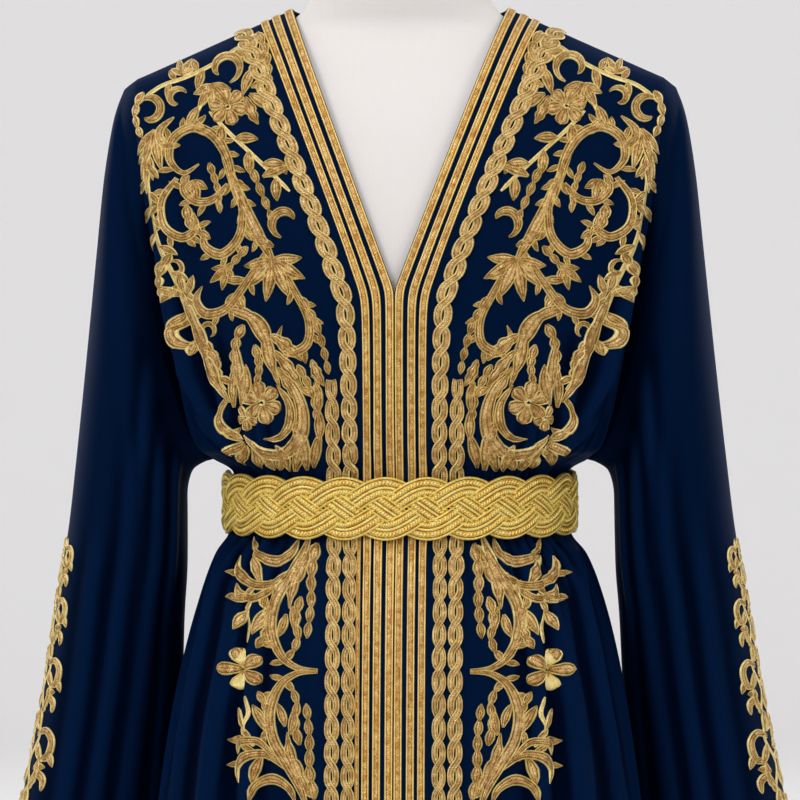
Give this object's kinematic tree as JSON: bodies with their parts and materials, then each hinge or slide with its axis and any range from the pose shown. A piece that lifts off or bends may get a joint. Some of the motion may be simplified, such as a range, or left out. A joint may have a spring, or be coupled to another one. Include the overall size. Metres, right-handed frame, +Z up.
{
  "type": "moroccan kaftan on a dress form",
  "caption": "Floor-length moroccan kaftan with V neck, long wide sleeves, woven trims and a braided belt, standing on a limbless dress form.",
  "frame": {"origin": "centre of the stand base's underside, on the floor", "axes": "+Z up, the front of the kaftan faces -Y, +X is the viewer's right"},
  "size_m": [0.664, 0.4672, 1.5543],
  "materials": {
    "cloth": "navy crepe, matt",
    "woven_braid": "woven metallic gold thread",
    "chain_braid": "plaited metallic gold cord",
    "belt_cord": "twisted metallic gold cord",
    "linen": "off-white linen cover",
    "stand_wood": "turned and waxed",
    "stand_steel": "brushed"
  },
  "bodies": {
    "root": {"front_left": "cloth", "front_right": "cloth", "back_left": "cloth", "back_right": "cloth", "sleeve_left": "cloth", "sleeve_right": "cloth", "braid_edge_left": "woven_braid", "braid_edge_right": "woven_braid", "braid_middle_left": "woven_braid", "braid_middle_right": "woven_braid", "braid_outer_left": "woven_braid", "braid_outer_right": "woven_braid", "braid_fourth_left": "woven_braid", "chain_inner_left": "chain_braid", "chain_inner_right": "chain_braid", "chain_outer_left": "chain_braid", "chain_outer_right": "chain_braid", "belt": "belt_cord", "belt_join": "belt_cord", "form_torso": "linen", "form_cap": "stand_wood", "stand_pole": "stand_steel", "stand_base": "stand_wood"}
  },
  "joints": []
}
